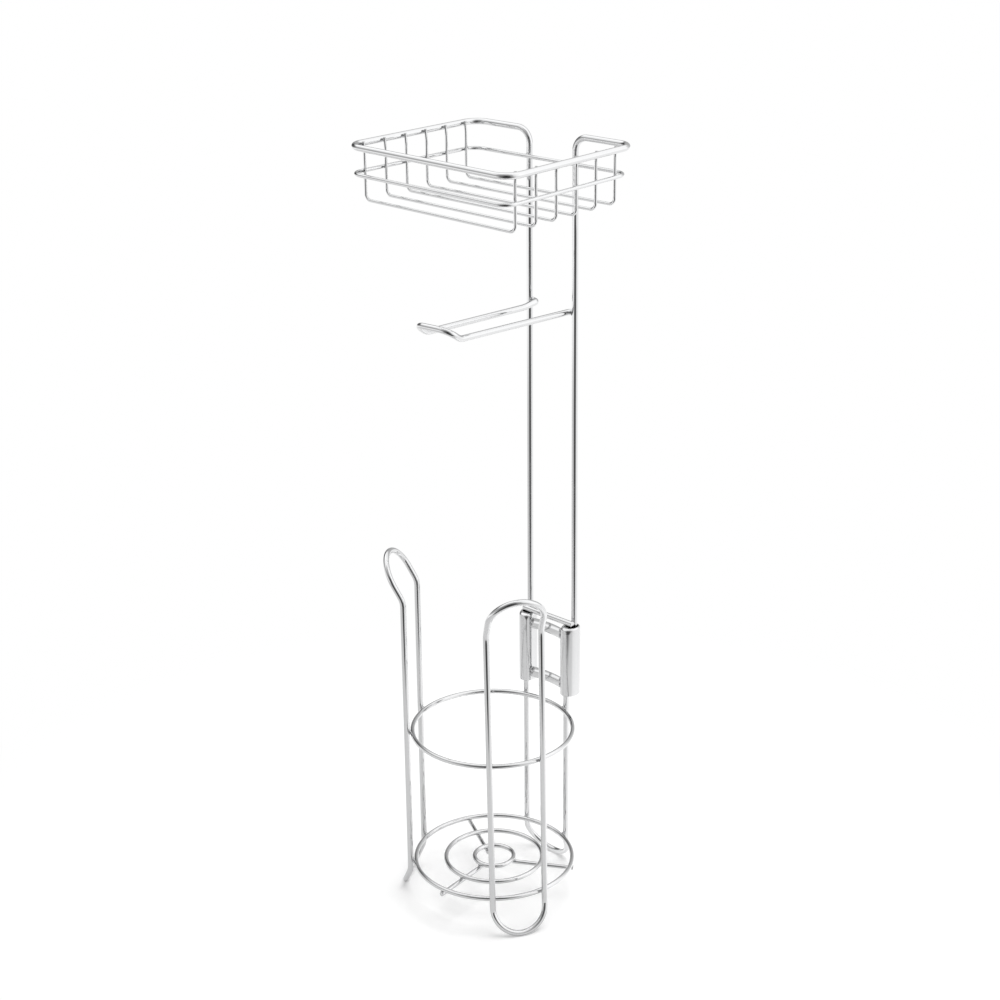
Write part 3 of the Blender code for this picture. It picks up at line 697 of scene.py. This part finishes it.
ARM_HEIGHT = 0.5000
ARM_HALF_WIDTH = 0.0173
ARM_REACH = 0.1247
ARM_RISE = 0.0051            # over that reach, on the left
ARM_TWIST_RISE = 0.0012      # more than that, on the right
ARM_ROOT_RADIUS = 0.0036
ARM_ROOT_SETBACK = 0.0017
ARM_LIFT = 0.0022            # of the left end above the arm's line
ARM_LIFT_LENGTH = 0.0150
ARM_LIFT_RADIUS = 0.0300
TIP_LENGTH = 0.0152
TIP_ANGLE = math.radians(35)
TIP_BEND_RADIUS = 0.0120
TIP_CORNER_RADIUS = 0.0090
ARM_WELD_SIZE = (0.0031, 0.0011, 0.0026)
UPRIGHT_WELD_SIZE = (0.0019, 0.0011, 0.0021)
root = upright_half_spacing(ARM_HEIGHT) - FRAME_WIRE / 2 - WELD_GAP
root_y, bend_y, tip_y = UPRIGHT_Y + ARM_ROOT_SETBACK, UPRIGHT_Y - ARM_LIFT_LENGTH, UPRIGHT_Y - ARM_REACH
tip_run, tip_rise = TIP_LENGTH * math.cos(TIP_ANGLE), TIP_LENGTH * math.sin(TIP_ANGLE)
left_height, right_height = ARM_HEIGHT + ARM_RISE, ARM_HEIGHT + ARM_RISE + ARM_TWIST_RISE
corners = [
    (-root, root_y, ARM_HEIGHT + ARM_LIFT),
    (-ARM_HALF_WIDTH, root_y, ARM_HEIGHT + ARM_LIFT),
    (-ARM_HALF_WIDTH, bend_y, ARM_HEIGHT + ARM_RISE * ARM_LIFT_LENGTH / ARM_REACH),
    (-ARM_HALF_WIDTH, tip_y, left_height),
    (-ARM_HALF_WIDTH, tip_y - tip_run, left_height + tip_rise),
    (ARM_HALF_WIDTH, tip_y - tip_run, right_height + tip_rise),
    (ARM_HALF_WIDTH, tip_y, right_height),
    (ARM_HALF_WIDTH, root_y, ARM_HEIGHT),
    (root, root_y, ARM_HEIGHT),
]
radii = [0, ARM_ROOT_RADIUS, ARM_LIFT_RADIUS, TIP_BEND_RADIUS, TIP_CORNER_RADIUS, TIP_CORNER_RADIUS,
         TIP_BEND_RADIUS, ARM_ROOT_RADIUS, 0]
mesh = wire("roll_arm_skin", *bent(corners, radii), FRAME_WIRE)
piece("roll_arm_bent_wire", mesh, wire_chrome, "upper_frame", "roll_arm")

places, outs = [], []
for side, height in ((-1, ARM_HEIGHT + ARM_LIFT), (1, ARM_HEIGHT)):
    places.append((side * (root + WELD_GAP / 2), UPRIGHT_Y + ARM_ROOT_SETBACK / 2, height))
    outs.append((side, 0, 0))
mesh = beads("arm_weld_skin", places, [(0, 0, 1)] * 2, outs, ARM_WELD_SIZE)
piece("arm_welds", mesh, weld_chrome, "upper_frame")

# The stop wire's and the band's beads on the uprights
places = []
at_stop, at_band = upright_half_spacing(STOP_HEIGHT), upright_half_spacing(band_height)
for side in (-1, 1):
    places.append((side * at_stop, STOP_Y + (FRAME_WIRE + WELD_GAP) / 2, STOP_HEIGHT))
    places.append((side * at_band, UPRIGHT_Y - (FRAME_WIRE + WELD_GAP) / 2, band_height))
mesh = beads("upright_weld_skin", places, [(0, 0, 1)] * 4, [(0, 1, 0)] * 4, UPRIGHT_WELD_SIZE)
piece("upright_welds", mesh, weld_chrome, "upper_frame")


# The photograph's camera: a long lens a metre and a half away, to the right of the stand and a little
# above it.

CAMERA_SIDE = math.radians(42.62)
CAMERA_PITCH = math.radians(21.47)
CAMERA_ROLL = math.radians(-0.574)
CAMERA_DISTANCE = 1.5746
CAMERA_LENS = 71.19
CAMERA_SHIFT = 0.0005
AIM = np.array([0.0071, 0.0049 + CAGE_Y, 0.3582])
backward = np.array([
    math.sin(CAMERA_SIDE) * math.cos(CAMERA_PITCH),
    -math.cos(CAMERA_SIDE) * math.cos(CAMERA_PITCH),
    math.sin(CAMERA_PITCH),
])
level = np.array([math.cos(CAMERA_SIDE), math.sin(CAMERA_SIDE), 0])
upward = np.cross(backward, level)
rightward = level * math.cos(CAMERA_ROLL) + upward * math.sin(CAMERA_ROLL)
upward = -level * math.sin(CAMERA_ROLL) + upward * math.cos(CAMERA_ROLL)
camera = bpy.data.objects.new("camera", bpy.data.cameras.new("camera"))
camera.data.lens = CAMERA_LENS
camera.data.shift_x = -CAMERA_SHIFT
camera.data.shift_y = CAMERA_SHIFT
pose = np.eye(4)
pose[:3] = np.stack([rightward, upward, backward, AIM + backward * CAMERA_DISTANCE], axis=1)
camera.matrix_world = pose.T.tolist()
bpy.context.collection.objects.link(camera)
bpy.context.scene.camera = camera


# The studio: a white floor, and a tent of cloth that only the chrome sees, glowing with painted light and
# shade:
# bright at both sides and above, grey behind the stand and dark round the camera. A black sheet on the
# floor, which only the chrome sees, is painted shade beyond the edge of the table, and to the chrome the
# floor glows with painted light.

TENT_RADIUS = 2.4
TENT_MIDDLE = 0.35           # the height that rises and drops are measured from
TENT_SIDES = 72
TENT_ROWS = 24
TENT_FIRST_CLIMB = 0.02      # radians up to its second row
TENT_TOP_GAP = 0.01          # radians from its last row to the zenith
TENT_GLOW = 2.0
LEVEL_TO_LOW = (3, 10)       # degrees of rise over which one band of cloth turns into the next
LOW_TO_HIGH = (28, 44)
HIGH_TO_ROOF = (62, 84)
LEVEL_TO_FOOT = (0.5, 3.5)   # degrees of drop
ROOF_TONE = (0.86, 0.86, 0.86, 1)
PAINTED_SHADE_COLOUR = (0.02, 0.02, 0.02, 1)
SHADE_SHEET_HEIGHT = 0.001
SHADE_SHEET_REACH = TENT_RADIUS * 0.99
SHADE_CURVE = 30.0            # metres further off for a whole turn squared to the side
FLOOR_COLOUR = (0.86, 0.86, 0.86, 1)
FLOOR_REACH = TENT_RADIUS * 1.2
FLOOR_LIFT = 0.2
FLOOR_WHITE = (0.28, 0.55)   # metres out, over which the floor turns plain white
FLOOR_FAR = (0.45, 0.72)     # of the tent's radius, over which the near tone turns into the far one
SKY_LIGHT = 0.6
LAMP_SIZE = (1.6, 1.2)
LAMP_ENERGY = 22
LAMP_PLACE = (0.25, 0.35, 1.9)
LAMP_TURN = (math.radians(-8), math.radians(8), 0)

# Greys of the painted light and shade on the cloth and on the mirrored floor, by degrees to the right of the
# camera's side
TONES_LEVEL = (
    (-180, 0.27), (-165, 0.20), (-150, 0.14), (-122, 0.30), (-105, 0.42), (-90, 0.46), (-75, 0.44),
    (-58, 0.40), (-44, 0.28), (-28, 0.13), (0, 0.02), (14, 0.06), (28, 0.26), (42, 0.62), (60, 0.77),
    (78, 0.85), (104, 0.80), (118, 0.56), (130, 0.42), (155, 0.32), (180, 0.27),
)
TONES_LOW = (
    (-180, 0.27), (-165, 0.18), (-150, 0.04), (-122, 0.07), (-108, 0.22), (-96, 0.28), (-86, 0.32),
    (-75, 0.32), (-58, 0.30), (-44, 0.22), (-28, 0.11), (0, 0.02), (14, 0.06), (28, 0.26), (42, 0.62),
    (60, 0.77), (78, 0.85), (104, 0.80), (118, 0.56), (130, 0.42), (155, 0.32), (180, 0.27),
)
TONES_HIGH = (
    (-180, 0.64), (-165, 0.80), (-145, 0.88), (-110, 0.72), (-75, 0.66), (-45, 0.38), (-12, 0.28), (8, 0.32),
    (28, 0.50), (45, 0.70), (75, 0.82), (130, 0.80), (155, 0.70), (180, 0.64),
)
TONES_FOOT = (
    (-180, 0.54), (-140, 0.62), (-110, 0.74), (-60, 0.74), (-44, 0.50), (-28, 0.15), (0, 0.03), (14, 0.06),
    (28, 0.26), (42, 0.60), (60, 0.63), (90, 0.68), (130, 0.66), (160, 0.60), (180, 0.54),
)
TONES_FLOOR_NEAR = (
    (-180, 0.52), (-140, 0.56), (-115, 0.52), (-97, 0.45), (-60, 0.45), (-30, 0.45), (40, 0.45), (60, 0.63),
    (90, 0.68), (130, 0.66), (160, 0.58), (180, 0.52),
)
TONES_FLOOR_FAR = (
    (-180, 0.54), (-140, 0.62), (-110, 0.74), (-60, 0.74), (-40, 0.60), (-25, 0.45), (40, 0.45), (60, 0.63),
    (90, 0.68), (130, 0.66), (160, 0.60), (180, 0.54),
)
SHADE_WIDTH = ((-56, 0), (-30, 0.8), (-14, 1), (18, 1), (33, 0.7), (54, 0))
SHADE_DEPTH = ((0.32, 0), (0.37, 0.24), (0.41, 0.70), (0.46, 0.97), (0.65, 0.92))   # by metres out
camera_azimuth = math.atan2(backward[1], backward[0])


def stage_object(name, points, faces, material):
    """A stage mesh, seen or unseen by the camera as its caller says."""
    mesh = bpy.data.meshes.new(name)
    mesh.from_pydata(points, [], faces)
    mesh.materials.append(material)
    obj = bpy.data.objects.new(name, mesh)
    bpy.context.collection.objects.link(obj)
    return obj


def square(reach, height):
    """The corners of a level square about the origin."""
    return [(x * reach, y * reach, height) for x, y in ((-1, -1), (1, -1), (1, 1), (-1, 1))]


def maths(tree, operation, *values):
    """A math node of the named operation on numbers and sockets."""
    made = node(tree, "ShaderNodeMath", operation=operation)
    for index, value in enumerate(values):
        if isinstance(value, (int, float)):
            made.inputs[index].default_value = value
        else:
            tree.links.new(value, made.inputs[index])
    return made.outputs[0]


def ramp(tree, factor, stops):
    """A colour ramp of greys: places from 0 to 1 with their values."""
    made = node(tree, "ShaderNodeValToRGB")
    made.color_ramp.interpolation = "EASE"
    elements = made.color_ramp.elements
    for index, (place, value) in enumerate(stops):
        element = elements[index] if index < 2 else elements.new(place)
        element.position = place
        element.color = (value, value, value, 1)
    tree.links.new(factor, made.inputs["Fac"])
    return made.outputs["Color"]


def turn_ramp(tree, share, tones):
    """A ramp of greys over the turn round the stand, by degrees from the camera's side."""
    return ramp(tree, share, [(degrees / 360 + 0.5, value) for degrees, value in tones])


def fade(tree, factor, limits, whole):
    """From 0 to 1 as the factor goes from one limit to the other, both limits as a share of the whole."""
    return ramp(tree, factor, [(limits[0] / whole, 0), (limits[1] / whole, 1)])


def mix(tree, factor, first, second):
    """The first colour turned into the second as the factor goes from 0 to 1."""
    made = node(tree, "ShaderNodeMix", data_type="RGBA")
    for index, value in ((0, factor), (6, first), (7, second)):
        if isinstance(value, tuple):
            made.inputs[index].default_value = value
        else:
            tree.links.new(value, made.inputs[index])
    return made.outputs[2]


def new_material(name):
    """An empty material and its node tree."""
    material = bpy.data.materials.new(name)
    material.use_nodes = True
    material.node_tree.nodes.clear()
    return material, material.node_tree


def surface(tree, shader):
    """The shader as the material's output."""
    tree.links.new(shader, node(tree, "ShaderNodeOutputMaterial").inputs[0])


def mix_shaders(tree, factor, first, second):
    """The first shader turned into the second as the factor goes from 0 to 1, as the material's output."""
    made = node(tree, "ShaderNodeMixShader")
    for index, value in enumerate((factor, first, second)):
        tree.links.new(value, made.inputs[index])
    surface(tree, made.outputs[0])


def place_round(tree):
    """Where a stage point is: the turn round the stand, one half on the camera's side and less to its left,
    the distance out, which is the root of the sum of the squares of x and y, and the height."""
    turned = node(tree, "ShaderNodeVectorRotate", rotation_type="Z_AXIS", Angle=-camera_azimuth)
    tree.links.new(node(tree, "ShaderNodeTexCoord").outputs["Object"], turned.inputs["Vector"])
    parts = node(tree, "ShaderNodeSeparateXYZ")
    tree.links.new(turned.outputs["Vector"], parts.inputs[0])
    x, y, z = parts.outputs
    share = maths(tree, "MULTIPLY_ADD", maths(tree, "ARCTAN2", y, x), 1 / math.tau, 0.5)
    squares = maths(tree, "ADD", maths(tree, "POWER", x, 2.0), maths(tree, "POWER", y, 2.0))
    return share, maths(tree, "SQRT", squares), z


# The tent's cloth, glowing with painted light and shade by its turn round the stand and its rise
tent_material, tree = new_material("tent_of_painted_light")
share, flat, height = place_round(tree)
rise = maths(tree, "ARCTAN2", maths(tree, "SUBTRACT", height, TENT_MIDDLE), flat)
rise = maths(tree, "DIVIDE", rise, math.pi / 2)
drop = maths(tree, "SUBTRACT", 0.0, rise)
painted_tent_light = turn_ramp(tree, share, TONES_LEVEL)
painted_tent_light = mix(tree, fade(tree, rise, LEVEL_TO_LOW, 90), painted_tent_light, turn_ramp(tree, share, TONES_LOW))
painted_tent_light = mix(tree, fade(tree, rise, LOW_TO_HIGH, 90), painted_tent_light, turn_ramp(tree, share, TONES_HIGH))
painted_tent_light = mix(tree, fade(tree, rise, HIGH_TO_ROOF, 90), painted_tent_light, ROOF_TONE)
painted_tent_light = mix(tree, fade(tree, drop, LEVEL_TO_FOOT, 90), painted_tent_light, turn_ramp(tree, share, TONES_FOOT))
glow = node(tree, "ShaderNodeEmission", Strength=TENT_GLOW)
tree.links.new(painted_tent_light, glow.inputs["Color"])
surface(tree, glow.outputs[0])

turn = np.linspace(0, math.tau, TENT_SIDES, endpoint=False)
climb = np.concatenate([[0], np.linspace(TENT_FIRST_CLIMB, math.pi / 2 - TENT_TOP_GAP, TENT_ROWS)])
rows = np.stack([
    np.outer(np.cos(climb), np.cos(turn)), np.outer(np.cos(climb), np.sin(turn)),
    np.repeat(np.sin(climb)[:, None], TENT_SIDES, 1),
], axis=-1) * TENT_RADIUS
row, side = np.arange(TENT_ROWS)[:, None] * TENT_SIDES, np.arange(TENT_SIDES)[None, :]
after = (side + 1) % TENT_SIDES
quads = np.stack([row + side, row + TENT_SIDES + side, row + TENT_SIDES + after, row + after], axis=-1)
faces = quads.reshape(-1, 4).tolist()
faces.append(list(range(TENT_ROWS * TENT_SIDES, (TENT_ROWS + 1) * TENT_SIDES)))
tent = stage_object("studio_tent", rows.reshape(-1, 3).tolist(), faces, tent_material)

# Painted shade beyond the table's edge, dark over a part of the turn and further off to both sides
shade_sheet_material, tree = new_material("painted_shade_past_table_edge")
share, flat, height = place_round(tree)
bend = maths(tree, "POWER", maths(tree, "ABSOLUTE", maths(tree, "SUBTRACT", share, 0.5)), 2.0)
curved = maths(tree, "SUBTRACT", flat, maths(tree, "MULTIPLY", bend, SHADE_CURVE))
shade_cover = maths(tree, "MULTIPLY", turn_ramp(tree, share, SHADE_WIDTH), ramp(tree, curved, SHADE_DEPTH))
# A black glow where the sheet covers: painted shade that only the chrome mirrors
dark = node(tree, "ShaderNodeEmission", Color=PAINTED_SHADE_COLOUR)
clear = node(tree, "ShaderNodeBsdfTransparent")
mix_shaders(tree, shade_cover, clear.outputs[0], dark.outputs[0])
shade_sheet = stage_object("painted_shade_past_table_edge", square(SHADE_SHEET_REACH, SHADE_SHEET_HEIGHT), [(0, 1, 2, 3)], shade_sheet_material)
for obj in (tent, shade_sheet):
    obj.visible_camera = False
    obj.visible_diffuse = False
    obj.visible_shadow = False
    obj.visible_transmission = False

# The floor, matt with the stand's shadow near it and plain white further out. To the chrome alone it glows
# with painted light, brighter to the right and behind, and far out to the left, than towards the camera
floor_material, tree = new_material("white_floor")
share, flat, height = place_round(tree)
seen = node(tree, "ShaderNodeLightPath")
glossy = seen.outputs["Is Glossy Ray"]
either = maths(tree, "MAXIMUM", seen.outputs["Is Camera Ray"],
               maths(tree, "MAXIMUM", glossy, seen.outputs["Is Transmission Ray"]))
# The floor's glow to the chrome alone: painted light by the turn round the stand and the distance out
tone = mix(tree, fade(tree, maths(tree, "DIVIDE", flat, TENT_RADIUS), FLOOR_FAR, 1),
           turn_ramp(tree, share, TONES_FLOOR_NEAR), turn_ramp(tree, share, TONES_FLOOR_FAR))
tone = maths(tree, "SUBTRACT", maths(tree, "MULTIPLY", tone, TENT_GLOW), 1.0)
painted_floor_light = maths(tree, "MULTIPLY", glossy, tone)
near = maths(tree, "ADD", maths(tree, "MULTIPLY", either, FLOOR_LIFT), painted_floor_light)
matt = node(tree, "ShaderNodeBsdfDiffuse", Color=FLOOR_COLOUR)
lift = node(tree, "ShaderNodeEmission", Color=(1, 1, 1, 1))
white = node(tree, "ShaderNodeEmission", Color=(1, 1, 1, 1))
both = node(tree, "ShaderNodeAddShader")
tree.links.new(maths(tree, "MAXIMUM", near, 0.0), lift.inputs["Strength"])
tree.links.new(maths(tree, "ADD", painted_floor_light, 1.0), white.inputs["Strength"])
tree.links.new(matt.outputs[0], both.inputs[0])
tree.links.new(lift.outputs[0], both.inputs[1])
mix_shaders(tree, fade(tree, flat, FLOOR_WHITE, 1), both.outputs[0], white.outputs[0])
stage_object("floor", square(FLOOR_REACH, 0), [(0, 1, 2, 3)], floor_material)

# The sky, plain white to the camera and to mirrors, and dimmer as a light
world = bpy.data.worlds.new("studio_light")
world.use_nodes = True
tree = world.node_tree
sky = tree.nodes["Background"]
sky.inputs["Color"].default_value = (1, 1, 1, 1)
seen = node(tree, "ShaderNodeLightPath")
backdrop = maths(tree, "MAXIMUM", seen.outputs["Is Camera Ray"], seen.outputs["Is Transmission Ray"])
backdrop = maths(tree, "MAXIMUM", backdrop, seen.outputs["Is Glossy Ray"])
tree.links.new(maths(tree, "MAXIMUM", backdrop, SKY_LIGHT), sky.inputs["Strength"])
bpy.context.scene.world = world

lamp = bpy.data.lights.new("overhead_softbox", "AREA")
lamp.shape = "RECTANGLE"
lamp.size, lamp.size_y = LAMP_SIZE
lamp.energy = LAMP_ENERGY
overhead = bpy.data.objects.new("overhead_softbox", lamp)
overhead.location = LAMP_PLACE
overhead.rotation_euler = LAMP_TURN
overhead.visible_glossy = False
bpy.context.collection.objects.link(overhead)

bpy.context.scene.view_settings.view_transform = "Standard"
